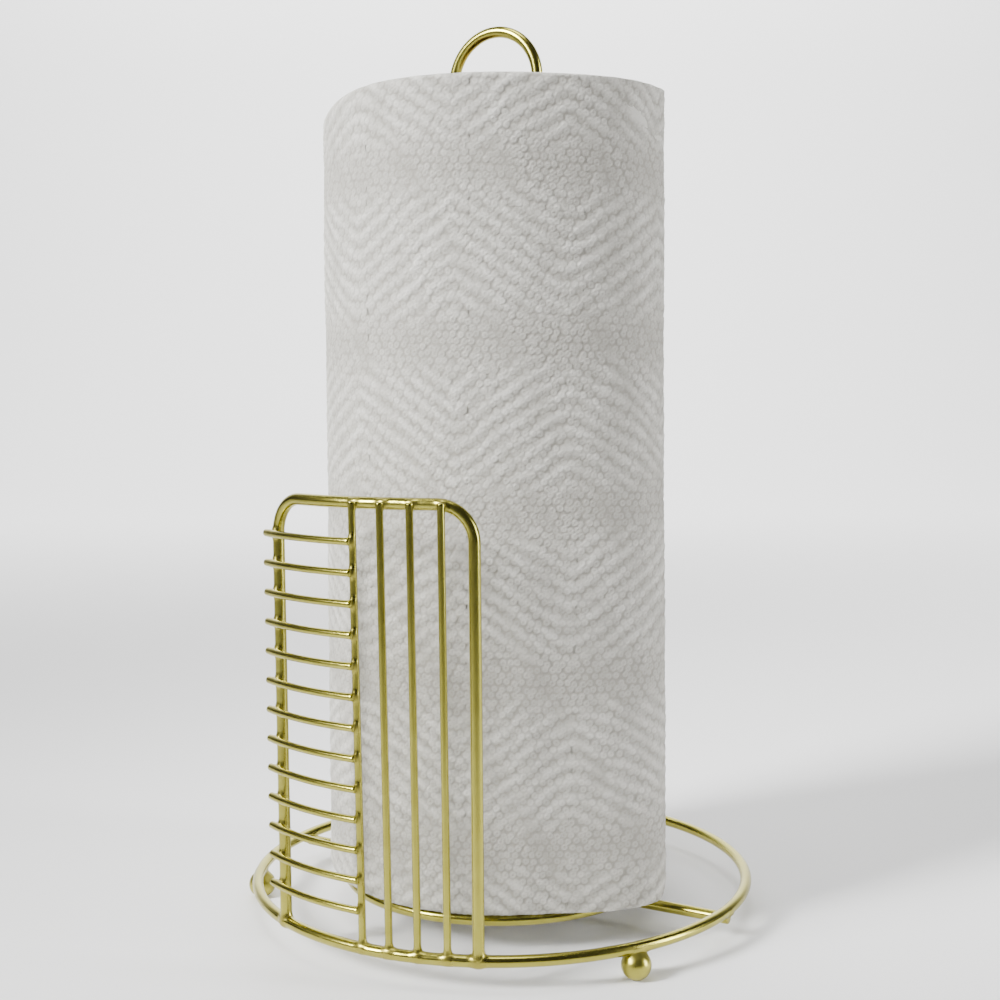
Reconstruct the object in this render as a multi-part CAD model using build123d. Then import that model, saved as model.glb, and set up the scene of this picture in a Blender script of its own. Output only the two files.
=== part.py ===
from build123d import *
import math
import os

# A free-standing paper towel holder of welded round wire, with the roll that it carries.
# Millimetres and degrees. +Z is up, the post's axis is the Z axis and the floor is Z = 0.
# Angles are measured about the post from +X, anticlockwise seen from above.

# Wire and welds
heavy_wire = 4.0  # diameter of the rings, cross wire, post and side frame
fine_wire = 2.5  # diameter of the side panel's uprights and cross bars
weld_bite = 0.2  # how far a crossing wire is pressed into the one it is welded to
ring_bite = 1.2  # the same under the outer ring, which carries everything and is pressed deeper
end_bite = 0.8  # how far a wire that stands on its end is pressed into its weld
cut_edge = 0.3  # rounding of the heavy wire's cut ends
fine_cut_edge = 0.2  # rounding of the fine wire's cut ends

# Base
base_radius = 91.0  # centreline radius of the outer ring
cross_wire_angle = -31.0  # direction of the wire that ties both rings and the post
cross_wire_inset = 1.2  # how far that wire's ends stop short of the outer ring's outside
foot_ball = 10.0  # diameter of a ball foot
foot_count = 3
first_foot_angle = 58.5

# Roll
roll_diameter = 127.0
roll_height = 280.0
core_bore = 42.0  # inside diameter of the cardboard core
core_wall = 1.0
core_clearance = 0.3  # between the core and the first turn of paper
rest_clearance = 0.3  # between the roll and the ring that it rests on
support_inset = 6.5  # how far the support ring's centreline lies inside the roll's rim

# Post
post_clearance = 1.5  # between the post's sides and the core
loop_rise = 28.0  # how far the post's loop stands above the roll

# Side panel
left_leg_angle = 215.7
right_leg_angle = 265.2
panel_height = 158.3  # top of the side frame above the floor
corner_radius = 12.0  # centreline radius of the side frame's two bends
upright_count = 4
upright_pitch = 10.0  # measured along the outer ring, from the right leg
upright_top_gap = 1.3  # how far the uprights stop below the top of the side frame
cross_bar_count = 13
first_cross_bar_rise = 11.35  # from the top of the outer ring to the lowest cross bar
cross_bar_overhang = 1.8  # past the outer side of the left leg
cross_bar_stop = 0.8  # how far short of the first upright's far side a cross bar ends

# Heights and radii that follow from the sizes above
heavy_half = heavy_wire / 2
fine_half = fine_wire / 2
ring_height = foot_ball - ring_bite + heavy_half
ring_top = ring_height + heavy_half
cross_wire_height = ring_height - heavy_wire + ring_bite
cross_wire_reach = base_radius + heavy_half - cross_wire_inset
roll_radius = roll_diameter / 2
support_radius = roll_radius - support_inset
support_height = cross_wire_height + heavy_wire - weld_bite
roll_base = support_height + heavy_half + rest_clearance
core_radius = core_bore / 2 + core_wall
post_radius = core_bore / 2 - post_clearance - heavy_half
post_top = roll_base + roll_height + loop_rise
frame_height = panel_height - heavy_half
straight_top = frame_height - corner_radius
top_bar_radius = math.sqrt(base_radius**2 - corner_radius**2)
upright_angle_step = math.degrees(upright_pitch / base_radius)
upright_foot_height = ring_top - end_bite
upright_top_height = panel_height - upright_top_gap
upright_top_radius = top_bar_radius + heavy_half + fine_half - weld_bite
first_cross_bar_height = ring_top + first_cross_bar_rise
cross_bar_step = (straight_top - first_cross_bar_height) / (cross_bar_count - 1)
cross_bar_leg_radius = base_radius + heavy_half + fine_half - weld_bite


def around(radius, angle, height):
    """The point at a radius and angle about the post's axis, at a height."""
    turn = math.radians(angle)
    return Vector(radius * math.cos(turn), radius * math.sin(turn), height)


def along_ring(angle):
    """The level direction in which the angle about the post grows."""
    return around(1, angle + 90, 0)


def wire_along(path, diameter):
    """Round wire of one diameter that follows a path."""
    start = Plane(origin=path @ 0, z_dir=path % 0)
    return sweep(start * Circle(diameter / 2), path=path)


def welded(piece, *mates):
    """The piece cut back to the faces of what it is welded to, so that they meet exactly."""
    for mate in mates:
        piece = piece - mate
    return piece


def wire_ring(radius, height):
    """A level ring of heavy wire about the post's axis."""
    return Pos(0, 0, height) * Torus(radius, heavy_half)


def make_cross_wire(outer_ring):
    """Straight wire across the base, under both rings, with its cut ends rounded."""
    end = around(cross_wire_reach, cross_wire_angle, cross_wire_height)
    start = around(-cross_wire_reach, cross_wire_angle, cross_wire_height)
    wire = wire_along(Line(start, end), heavy_wire)
    return welded(fillet(wire.edges().filter_by(GeomType.CIRCLE), cut_edge), outer_ring)


def make_foot(number, outer_ring):
    """Ball under the outer ring."""
    angle = first_foot_angle + number * 360 / foot_count
    centre = around(base_radius, angle, foot_ball / 2)
    return welded(Pos(centre) * Sphere(foot_ball / 2), outer_ring)


def make_post(cross_wire):
    """Hairpin of wire: two legs on the cross wire, joined by a half circle at the top."""
    foot_height = cross_wire_height + heavy_half - end_bite
    bend_height = post_top - heavy_half - post_radius
    right_foot = around(post_radius, cross_wire_angle, foot_height)
    left_foot = around(-post_radius, cross_wire_angle, foot_height)
    right_bend = around(post_radius, cross_wire_angle, bend_height)
    left_bend = around(-post_radius, cross_wire_angle, bend_height)
    crown = Vector(0, 0, bend_height + post_radius)
    path = Line(left_foot, left_bend)
    path += ThreePointArc(left_bend, crown, right_bend)
    path += Line(right_bend, right_foot)
    return welded(wire_along(path, heavy_wire), cross_wire)


def frame_corner(angle, side):
    """Leg and bend of the side frame: foot, start, middle and end of the bend.

    The bend lies in the upright plane that touches the top bar where the bend ends. side is
    1 where the top bar runs on towards larger angles and -1 where it runs towards smaller.
    """
    bend_angle = angle + side * math.degrees(math.asin(corner_radius / base_radius))
    inward = along_ring(bend_angle) * side
    end = around(top_bar_radius, bend_angle, frame_height)
    centre = end - Vector(0, 0, corner_radius)
    start = centre - inward * corner_radius
    diagonal = (Vector(0, 0, 1) - inward) * math.sqrt(0.5)
    foot = Vector(start.X, start.Y, ring_top - end_bite)
    return foot, start, centre + diagonal * corner_radius, end


def make_side_frame(outer_ring):
    """Two legs on the outer ring, joined over two bends by a bar curved round the roll."""
    left_foot, left_start, left_middle, left_end = frame_corner(left_leg_angle, 1)
    right_foot, right_start, right_middle, right_end = frame_corner(right_leg_angle, -1)
    middle_angle = (left_leg_angle + right_leg_angle) / 2
    bar_middle = around(top_bar_radius, middle_angle, frame_height)
    path = Line(left_foot, left_start)
    path += ThreePointArc(left_start, left_middle, left_end)
    path += ThreePointArc(left_end, bar_middle, right_end)
    path += ThreePointArc(right_end, right_middle, right_start)
    path += Line(right_start, right_foot)
    return welded(wire_along(path, heavy_wire), outer_ring)


def upright_angle(number):
    """Angle of an upright. Number 0 is the furthest from the right leg."""
    return right_leg_angle - (upright_count - number) * upright_angle_step


def upright_radius(height):
    """An upright leans out from the ring's crown to the outer side of the top bar."""
    rise = (height - upright_foot_height) / (upright_top_height - upright_foot_height)
    return base_radius + rise * (upright_top_radius - base_radius)


def make_upright(number, outer_ring, side_frame):
    """Straight fine wire from the outer ring to the outer side of the top bar."""
    foot = around(base_radius, upright_angle(number), upright_foot_height)
    top = around(upright_top_radius, upright_angle(number), upright_top_height)
    wire = wire_along(Line(foot, top), fine_wire)
    top_edge = wire.edges().filter_by(GeomType.CIRCLE).sort_by(Axis.Z)[-1]
    return welded(fillet(top_edge, fine_cut_edge), outer_ring, side_frame)


def make_cross_bar(number, side_frame, first_upright):
    """Level fine wire, bowed like the ring, from past the left leg to the first upright.

    Its centreline is an arc of one radius through its two welds, and its ends lie an
    overhang past the leg's weld and just past the upright's weld.
    """
    height = first_cross_bar_height + number * cross_bar_step
    upright_weld_radius = upright_radius(height) + fine_wire - weld_bite
    leg_weld = around(cross_bar_leg_radius, left_leg_angle, height)
    upright_weld = around(upright_weld_radius, upright_angle(0), height)
    chord = upright_weld - leg_weld
    middle = (leg_weld + upright_weld) / 2
    to_centre = chord.normalized().cross(Vector(0, 0, -1))
    bow_radius = cross_bar_leg_radius
    half_turn = math.asin(chord.length / 2 / bow_radius)
    centre = middle + to_centre * (bow_radius * math.cos(half_turn))
    leg_turn = half_turn + (heavy_half + cross_bar_overhang) / bow_radius
    upright_turn = half_turn + (fine_half - cross_bar_stop) / bow_radius

    def on_arc(turn):
        """The point of the centreline at a turn from the middle, positive to the upright."""
        return centre + (chord.normalized() * math.sin(turn) - to_centre * math.cos(turn)) * bow_radius

    path = ThreePointArc(on_arc(-leg_turn), on_arc(0), on_arc(upright_turn))
    wire = wire_along(path, fine_wire)
    wire = fillet(wire.edges().filter_by(GeomType.CIRCLE).filter_by(lambda edge: edge.is_closed), fine_cut_edge)
    return welded(wire, side_frame, first_upright)


def tube(inner_radius, outer_radius):
    """Plain tube of the roll's height, standing where the roll rests."""
    ring = Circle(outer_radius) - Circle(inner_radius)
    return extrude(Pos(0, 0, roll_base) * ring, roll_height)


def write(piece, name):
    """One STEP file for one piece, which must be a single solid."""
    solids = piece.solids()
    assert len(solids) == 1, f"{name} has {len(solids)} solids"
    export_step(solids[0], f"parts/{name}.step")


os.makedirs("parts", exist_ok=True)

outer_ring = wire_ring(base_radius, ring_height)
cross_wire = make_cross_wire(outer_ring)
side_frame = make_side_frame(outer_ring)
uprights = [make_upright(number, outer_ring, side_frame) for number in range(upright_count)]

write(outer_ring, "outer_ring")
write(cross_wire, "cross_wire")
write(welded(wire_ring(support_radius, support_height), cross_wire), "support_ring")
write(make_post(cross_wire), "centre_post")
write(side_frame, "side_frame")
for number in range(foot_count):
    write(make_foot(number, outer_ring), f"ball_foot_{number + 1}")
for number, upright in enumerate(uprights):
    write(upright, f"upright_{number + 1}")
for number in range(cross_bar_count):
    write(make_cross_bar(number, side_frame, uprights[0]), f"cross_bar_{number + 1:02d}")
write(tube(core_bore / 2, core_radius), "cardboard_core")
write(tube(core_radius + core_clearance, roll_radius), "paper_roll")
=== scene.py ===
"""Looks of a welded wire paper towel holder and its roll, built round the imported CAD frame.

Laid out as an add-on and run as a script. Lengths are metres, the post's axis is the Z axis
and the floor is Z = 0. Angles are measured about the post from +X, anticlockwise from above.
"""

import math

import bpy
import numpy as np
from bpy.props import FloatProperty, FloatVectorProperty, IntProperty, PointerProperty
from bpy.types import Operator, Panel, PropertyGroup
from mathutils import Matrix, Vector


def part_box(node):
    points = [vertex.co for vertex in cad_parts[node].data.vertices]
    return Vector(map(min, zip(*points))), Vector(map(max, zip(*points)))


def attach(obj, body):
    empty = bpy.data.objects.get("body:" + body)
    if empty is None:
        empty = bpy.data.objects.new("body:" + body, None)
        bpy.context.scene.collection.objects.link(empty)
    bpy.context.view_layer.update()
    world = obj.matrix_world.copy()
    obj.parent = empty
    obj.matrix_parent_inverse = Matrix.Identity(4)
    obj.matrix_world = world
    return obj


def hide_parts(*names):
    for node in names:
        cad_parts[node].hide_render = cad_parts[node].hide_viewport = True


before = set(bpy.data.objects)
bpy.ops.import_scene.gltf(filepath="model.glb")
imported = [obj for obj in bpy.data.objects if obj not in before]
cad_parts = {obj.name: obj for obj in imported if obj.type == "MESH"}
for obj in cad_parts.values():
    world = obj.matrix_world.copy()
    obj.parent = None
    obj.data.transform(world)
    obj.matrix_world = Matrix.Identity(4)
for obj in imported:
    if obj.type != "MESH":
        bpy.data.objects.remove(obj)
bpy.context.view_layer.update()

bl_info = {
    "name": "Paper towel holder",
    "version": (1, 0, 0),
    "blender": (4, 5, 0),
    "location": "3D View > Sidebar > Towel Holder",
    "description": "Builds the wire holder, its roll of towel and a plain studio",
    "category": "Object",
}

TAU = 2 * math.pi
MM = 0.001


def rounded(value):
    """A length of the frame to the nearest hundredth of a millimetre."""
    return round(value, 5)


# Places and sizes that the CAD frame gives.
RING_LOW, RING_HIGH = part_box("outer_ring")
SUPPORT_LOW, SUPPORT_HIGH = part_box("support_ring")
POST_TOP = rounded(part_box("centre_post")[1].z)
PANEL_TOP = rounded(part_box("side_frame")[1].z)
CROSS_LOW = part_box("cross_wire")[0]
ROLL_LOW, ROLL_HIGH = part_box("paper_roll")
CORE_LOW, CORE_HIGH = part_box("cardboard_core")
UPRIGHT_NODES = [f"upright_{n}" for n in range(1, 5)]
CROSS_BAR_NODES = [f"cross_bar_{n:02d}" for n in range(1, 14)]
FOOT_NODES = [f"ball_foot_{n}" for n in range(1, 4)]

HEAVY = rounded(RING_HIGH.z - RING_LOW.z)
HEAVY_HALF = HEAVY / 2
BASE_RADIUS = rounded((RING_HIGH.x - RING_LOW.x) / 2) - HEAVY_HALF
RING_HEIGHT = rounded((RING_HIGH.z + RING_LOW.z) / 2)
SUPPORT_RADIUS = rounded((SUPPORT_HIGH.y - SUPPORT_LOW.y) / 2) - HEAVY_HALF
SUPPORT_HEIGHT = rounded(SUPPORT_HIGH.z) - HEAVY_HALF
CROSS_HEIGHT = rounded(CROSS_LOW.z) + HEAVY_HALF
ROLL_RADIUS = rounded((ROLL_HIGH.x - ROLL_LOW.x) / 2)
ROLL_BASE, ROLL_TOP = rounded(ROLL_LOW.z), rounded(ROLL_HIGH.z)
CORE_RADIUS = rounded((CORE_HIGH.x - CORE_LOW.x) / 2)

# Directions and lengths of the welded wire that no box gives.
CROSS_WIRE_ANGLE = math.radians(-31)
CROSS_WIRE_REACH = 91.8 * MM
LEFT_LEG_ANGLE = math.radians(215.7)
RIGHT_LEG_ANGLE = math.radians(265.2)
CORNER_RADIUS = 12 * MM
POST_RADIUS = 17.5 * MM
FINE = 2.5 * MM
FINE_HALF = FINE / 2
WELD_BITE = 0.2 * MM
UPRIGHT_PITCH = 10 * MM
OVERHANG = 1.8 * MM
BAR_STOP = 0.8 * MM
TOP_BAR_RADIUS = math.sqrt(BASE_RADIUS**2 - CORNER_RADIUS**2)
FRAME_HEIGHT = PANEL_TOP - HEAVY_HALF
UPRIGHT_FOOT = RING_HEIGHT + HEAVY_HALF - 0.8 * MM
UPRIGHT_TOP = rounded(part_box("upright_1")[1].z)
UPRIGHT_TOP_RADIUS = TOP_BAR_RADIUS + HEAVY_HALF + FINE_HALF - WELD_BITE
BAR_LEG_RADIUS = BASE_RADIUS + HEAVY_HALF + FINE_HALF - WELD_BITE
CORE_GAP = 0.3 * MM
WIRE_ROUGHNESS = 0.22
BALL_ROUGHNESS = 0.30
PERFORATION_PITCH = 3.4 * MM


# ---------------------------------------------------------------- settings


class HolderSizes(PropertyGroup):
    """Sizes of the wire's finish and welds."""

    weld_spread: FloatProperty(
        name="Weld spread",
        description="How far from a weld the wire's surface swells",
        default=2.0 * MM,
        min=0.2 * MM,
        unit="LENGTH",
    )
    heat_spread: FloatProperty(
        name="Heat spread",
        description="How far from a weld the finish is dulled",
        default=3.0 * MM,
        min=0.2 * MM,
        unit="LENGTH",
    )
    cut_rounding: FloatProperty(
        name="Cut rounding",
        description="Rounding of the wire's cut ends",
        default=0.45 * MM,
        unit="LENGTH",
    )
    wire_step: FloatProperty(
        name="Wire step",
        description="Distance between the rings of faces along a wire",
        default=0.55 * MM,
        min=0.1 * MM,
        unit="LENGTH",
    )
    heavy_sides: IntProperty(
        name="Heavy wire sides",
        description="Faces round the heavy wire",
        default=28,
        min=8,
    )
    fine_sides: IntProperty(
        name="Fine wire sides",
        description="Faces round the fine wire",
        default=20,
        min=8,
    )


class TowelSizes(PropertyGroup):
    """Sizes of the roll and its embossing."""

    dot_pitch: FloatProperty(
        name="Dot pitch",
        description="Distance between the embossed dots",
        default=2.6 * MM,
        unit="LENGTH",
    )
    dot_depth: FloatProperty(
        name="Dot depth",
        description="How far the dots stand out",
        default=0.47 * MM,
        unit="LENGTH",
    )
    ridge_pitch: FloatProperty(
        name="Ridge pitch",
        description="Height from one zigzag ridge to the next",
        default=6.2 * MM,
        unit="LENGTH",
    )
    ridge_depth: FloatProperty(
        name="Ridge depth",
        description="How far the zigzag ridges stand out",
        default=0.38 * MM,
        unit="LENGTH",
    )
    bottom_rounding: FloatProperty(
        name="Lower rim",
        description="Rounding of the roll's lower rim",
        default=3.0 * MM,
        unit="LENGTH",
    )
    top_rounding: FloatProperty(
        name="Upper rim",
        description="Rounding of the roll's upper rim",
        default=1.6 * MM,
        unit="LENGTH",
    )
    sheet_thickness: FloatProperty(
        name="Sheet thickness",
        description="Step at the free edge of the last sheet",
        default=0.45 * MM,
        unit="LENGTH",
    )
    layer_pitch: FloatProperty(
        name="Layer pitch",
        description="Width of one group of turns on the roll's ends",
        default=0.8 * MM,
        unit="LENGTH",
    )


class HolderColours(PropertyGroup):
    """Colours of the finishes."""

    gold: FloatVectorProperty(
        name="Gold",
        description="Satin gold of the wire",
        subtype="COLOR",
        size=3,
        min=0,
        max=1,
        default=(0.42, 0.385, 0.08),
    )
    gold_deep: FloatVectorProperty(
        name="Deep gold",
        description="The darker tone that the gold wanders to",
        subtype="COLOR",
        size=3,
        min=0,
        max=1,
        default=(0.34, 0.305, 0.055),
    )
    heat: FloatVectorProperty(
        name="Weld tint",
        description="Gold dulled by welding",
        subtype="COLOR",
        size=3,
        min=0,
        max=1,
        default=(0.27, 0.225, 0.05),
    )
    paper: FloatVectorProperty(
        name="Paper",
        description="Tops of the embossing",
        subtype="COLOR",
        size=3,
        min=0,
        max=1,
        default=(0.66, 0.65, 0.605),
    )
    # Painted shade: the darker colour that stands in for the shade in the embossing's valleys.
    painted_valley_shade: FloatVectorProperty(
        name="Paper valleys",
        description="Foot of the embossing",
        subtype="COLOR",
        size=3,
        min=0,
        max=1,
        default=(0.30, 0.288, 0.252),
    )
    board: FloatVectorProperty(
        name="Board",
        description="Grey-brown board of the core",
        subtype="COLOR",
        size=3,
        min=0,
        max=1,
        default=(0.42, 0.31, 0.20),
    )
    floor: FloatVectorProperty(
        name="Floor",
        description="Pale floor and backdrop",
        subtype="COLOR",
        size=3,
        min=0,
        max=1,
        default=(0.93, 0.93, 0.93),
    )


# ---------------------------------------------------------------- meshes


def unit(vectors):
    """Each vector divided by its length."""
    return vectors / np.maximum(np.linalg.norm(vectors, axis=-1, keepdims=True), 1e-12)


def around(radius, angle, height):
    """The point at a radius and angle about the post, at a height."""
    return np.array((radius * math.cos(angle), radius * math.sin(angle), height))


def grid_faces(rows, columns, first, wrap_rows, wrap_columns):
    """Quads of a grid of vertices numbered row by row from first, each wound row-last."""
    row = np.arange(rows if wrap_rows else rows - 1)
    column = np.arange(columns if wrap_columns else columns - 1)
    i, j = np.meshgrid(row, column, indexing="ij")
    ni, nj = (i + 1) % rows, (j + 1) % columns
    corners = (i * columns + j, i * columns + nj, ni * columns + nj, ni * columns + j)
    return first + np.stack([c.ravel() for c in corners], axis=1)


def fan_faces(pole, ring, outward_first):
    """Triangles from a pole to each edge of a closed ring of vertices."""
    following = np.roll(ring, -1)
    pair = (ring, following) if outward_first else (following, ring)
    return np.stack([np.full(len(ring), pole), *pair], axis=1)


def new_piece(name, points, faces, material, flat=None, corner_normals=None):
    """A smooth mesh object from points and lists of faces, of which some stay flat."""
    points = np.asarray(points, np.float32).reshape(-1, 3)
    sizes = np.concatenate([np.full(len(f), f.shape[1]) for f in faces])
    corners = np.concatenate([f.ravel() for f in faces]).astype(np.int32)
    mesh = bpy.data.meshes.new(name)
    mesh.vertices.add(len(points))
    mesh.vertices.foreach_set("co", points.ravel())
    mesh.loops.add(len(corners))
    mesh.loops.foreach_set("vertex_index", corners)
    mesh.polygons.add(len(sizes))
    starts = np.concatenate([[0], np.cumsum(sizes)[:-1]]).astype(np.int32)
    mesh.polygons.foreach_set("loop_start", starts)
    smooth = np.ones(len(sizes), bool) if flat is None else ~flat
    mesh.polygons.foreach_set("use_smooth", smooth)
    mesh.update(calc_edges=True)
    if mesh.validate():
        raise RuntimeError(f"{name}: its faces are not sound")
    if corner_normals is not None:
        mesh.normals_split_custom_set(corner_normals)
    mesh.materials.append(material)
    piece = bpy.data.objects.new(name, mesh)
    bpy.context.scene.collection.objects.link(piece)
    return piece


def paint(piece, name, values):
    """Stores one number, or one vector, for each vertex under a name."""
    values = np.asarray(values, np.float32)
    kind, key = ("FLOAT", "value") if values.ndim == 1 else ("FLOAT_VECTOR", "vector")
    layer = piece.data.attributes.new(name, kind, "POINT")
    layer.data.foreach_set(key, values.ravel())


def place(piece, body, slot, *nodes, allowed=1.5 * MM):
    """Puts a finished piece on its CAD body, in the place of CAD nodes.

    It stays within an allowed distance of those nodes' boxes.
    """
    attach(piece, body)
    if nodes:
        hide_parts(*nodes)
    for node in nodes:
        low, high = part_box(node)
        spots = np.empty(len(piece.data.vertices) * 3, np.float32)
        piece.data.vertices.foreach_get("co", spots)
        spots = spots.reshape(-1, 3)
        stray = max(
            (np.array(low) - spots.min(0)).max(), (spots.max(0) - np.array(high)).max()
        )
        if stray > allowed:
            raise RuntimeError(f"{piece.name} stands {stray * 1000:.1f} mm out of {node}")


# ---------------------------------------------------------------- wire


def straight(start, end):
    """A straight run as its two ends."""
    return np.array([start, end], float)


def bend(centre, first, second, begin, finish, count=25):
    """Arc: centre plus first times the cosine plus second times the sine of each turn."""
    turn = np.linspace(begin, finish, count)
    return centre + np.outer(np.cos(turn), first) + np.outer(np.sin(turn), second)


def joined(*runs):
    """Runs laid end to end, each after the first without its first point."""
    return np.vstack([runs[0]] + [run[1:] for run in runs[1:]])


def measured(path, closed=False):
    """Length along a path at each of its points, and at its return if it is closed."""
    ends = np.vstack([path, path[:1]]) if closed else path
    return np.concatenate([[0], np.cumsum(np.linalg.norm(np.diff(ends, axis=0), axis=1))])


def at_lengths(path, lengths, closed=False):
    """Points of a path at lengths along it."""
    along = measured(path, closed)
    ends = np.vstack([path, path[:1]]) if closed else path
    return np.stack([np.interp(lengths, along, ends[:, k]) for k in range(3)], axis=1)


def cut_end(radius, rounding, rows=5):
    """Stations of a cut end: (distance in from the end, radius) from its pole outwards.

    A nearly flat face, crowned by a few hundredths of its radius, then a quarter round.
    """
    flat = (radius - rounding) * np.array([0.4, 0.8])
    crown = 0.06 * radius
    turn = np.linspace(0, math.pi / 2, rows)
    depth = np.concatenate([crown * (flat / radius) ** 2, crown + rounding * (1 - np.cos(turn))])
    width = np.concatenate([flat, radius - rounding + rounding * np.sin(turn)])
    return depth, width


def ring_mate(radius, height, thickness=HEAVY_HALF):
    """How far points lie from a level ring's surface: distance to its circle less its half."""

    def gap(points):
        across = np.hypot(points[..., 0], points[..., 1]) - radius
        return np.hypot(across, points[..., 2] - height) - thickness

    return gap


def rod_mate(start, end, thickness=HEAVY_HALF):
    """How far points lie from a straight rod's surface, with round ends."""
    start, end = np.asarray(start, float), np.asarray(end, float)
    run = end - start
    length = max(float(run @ run), 1e-12)

    def gap(points):
        share = np.clip(((points - start) @ run) / length, 0, 1)
        nearest = start + share[..., None] * run
        return np.linalg.norm(points - nearest, axis=-1) - thickness

    return gap


def swelling(points, normals, mates, sizes):
    """Points pushed out near what they are welded to, and how near each one is.

    The push is a quarter of the weld's spread times the square of (1 less the distance to
    the mate's surface over the spread), which rounds the corner between the two wires.
    """
    heat = np.zeros(points.shape[:-1])
    moved = points.copy()
    for mate in mates:
        gap = np.abs(mate(points))
        near = np.clip(1 - gap / sizes.weld_spread, 0, 1)
        moved += normals * (sizes.weld_spread / 4 * near**2)[..., None]
        heat = np.maximum(heat, np.clip(1 - gap / sizes.heat_spread, 0, 1))
    return moved, heat


def wire(name, path, guide, radius, mates, material, closed=False, step_scale=1.0):
    """Round wire along a path.

    At each station the surface is the path's point plus the radius times the cosine of the
    second parameter towards the guide direction and its sine across it. Cut ends are
    rounded and closed at a pole, and the surface swells towards each weld.
    """
    sizes = bpy.context.scene.holder_sizes
    sides = sizes.heavy_sides if radius > 1.6 * MM else sizes.fine_sides
    total = measured(path, closed)[-1]
    count = max(int(total / (sizes.wire_step * step_scale)), 8)
    if closed:
        lengths = np.arange(count) * total / count
        widths = np.full(count, radius)
    else:
        depth, width = cut_end(radius, min(sizes.cut_rounding, radius * 0.6))
        body = np.linspace(depth[-1], total - depth[-1], count)[1:-1]
        lengths = np.concatenate([depth, body, total - depth[::-1]])
        widths = np.concatenate([width, np.full(len(body), radius), width[::-1]])
    stations = at_lengths(path, lengths, closed)
    probe = 0.3 * MM
    if closed:
        ahead = at_lengths(path, (lengths + probe) % total, True)
        behind = at_lengths(path, (lengths - probe) % total, True)
    else:
        ahead = at_lengths(path, np.minimum(lengths + probe, total))
        behind = at_lengths(path, np.maximum(lengths - probe, 0))
    forward = unit(ahead - behind)
    toward = guide(stations)
    side = unit(toward - forward * np.sum(toward * forward, axis=1, keepdims=True))
    other = np.cross(forward, side)
    angle = np.arange(sides) * TAU / sides
    normals = side[:, None] * np.cos(angle)[None, :, None]
    normals = normals + other[:, None] * np.sin(angle)[None, :, None]
    points = stations[:, None] + normals * widths[:, None, None]
    points, heat = swelling(points, normals, mates, sizes)
    rolled = np.empty_like(points)
    rolled[..., 0] = (radius * np.cos(angle))[None]
    rolled[..., 1] = (radius * np.sin(angle))[None]
    rolled[..., 2] = lengths[:, None]
    rows = len(lengths)
    faces = [grid_faces(rows, sides, 0, closed, True)]
    flat = points.reshape(-1, 3)
    rolled, heat = rolled.reshape(-1, 3), heat.ravel()
    if not closed:
        poles = at_lengths(path, np.array([0, total]))
        flat = np.vstack([flat, poles])
        rolled = np.vstack([rolled, [[0, 0, 0], [0, 0, total]]])
        heat = np.concatenate([heat, [heat[0], heat[-1]]])
        first_ring = np.arange(sides)
        last_ring = first_ring + (rows - 1) * sides
        faces.append(fan_faces(rows * sides, first_ring, False))
        faces.append(fan_faces(rows * sides + 1, last_ring, True))
    piece = new_piece(name, flat, faces, material)
    paint(piece, "rolled_out", rolled)
    paint(piece, "weld", heat)
    return piece


def outward(points):
    """Directions away from the post's axis."""
    return unit(points * np.array([1, 1, 0]))


def upward(points):
    """Straight up, once for each point."""
    return np.tile(np.array([0.0, 0.0, 1.0]), (len(points), 1))


def level_circle(radius, height, seam_angle):
    """A level circle about the post that starts and ends at an angle."""
    turn = seam_angle + np.arange(720) * TAU / 720
    return np.stack([radius * np.cos(turn), radius * np.sin(turn), np.full(720, height)], 1)


def corner(angle, side):
    """Foot, lower end, centre, inward direction and angle of a bend of the side frame.

    The bend lies in the upright plane that touches the top bar where the bend ends.
    """
    bend_angle = angle + side * math.asin(CORNER_RADIUS / BASE_RADIUS)
    inward = around(1, bend_angle + math.pi / 2, 0) * side
    end = around(TOP_BAR_RADIUS, bend_angle, FRAME_HEIGHT)
    centre = end - np.array([0, 0, CORNER_RADIUS])
    start = centre - inward * CORNER_RADIUS
    foot = np.array([start[0], start[1], RING_HEIGHT])
    return foot, start, centre, inward, bend_angle


def upright_angle(number):
    """Angle of an upright. Number 0 is the furthest from the right leg."""
    return RIGHT_LEG_ANGLE - (4 - number) * UPRIGHT_PITCH / BASE_RADIUS


def upright_radius(height):
    """An upright leans out from the ring's crown to the outer side of the top bar."""
    rise = (height - UPRIGHT_FOOT) / (UPRIGHT_TOP - UPRIGHT_FOOT)
    return BASE_RADIUS + rise * (UPRIGHT_TOP_RADIUS - BASE_RADIUS)


def upright_ends(number):
    """Foot, sunk into the ring, and top of an upright."""
    foot_height = UPRIGHT_FOOT - 0.9 * MM
    angle = upright_angle(number)
    foot = around(upright_radius(foot_height), angle, foot_height)
    return foot, around(UPRIGHT_TOP_RADIUS, angle, UPRIGHT_TOP)


def cross_bar_path(node):
    """Arc of one radius through a cross bar's two welds, run on past both."""
    low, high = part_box(node)
    height = (low.z + high.z) / 2
    upright_weld_radius = upright_radius(height) + FINE - WELD_BITE
    leg_weld = around(BAR_LEG_RADIUS, LEFT_LEG_ANGLE, height)
    upright_weld = around(upright_weld_radius, upright_angle(0), height)
    chord = upright_weld - leg_weld
    length = np.linalg.norm(chord)
    along = chord / length
    to_centre = np.cross(along, (0, 0, -1))
    half_turn = math.asin(length / 2 / BAR_LEG_RADIUS)
    centre = (leg_weld + upright_weld) / 2
    centre = centre + to_centre * BAR_LEG_RADIUS * math.cos(half_turn)
    begin = -half_turn - (HEAVY_HALF + OVERHANG) / BAR_LEG_RADIUS
    finish = half_turn + (FINE_HALF - BAR_STOP) / BAR_LEG_RADIUS
    reach = BAR_LEG_RADIUS
    return bend(centre, -to_centre * reach, along * reach, begin, finish, 60)


def foot_centre(node):
    """Centre of a ball foot, from its box."""
    low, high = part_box(node)
    return np.array([(low.x + high.x) / 2, (low.y + high.y) / 2, FOOT_RADIUS])


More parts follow.
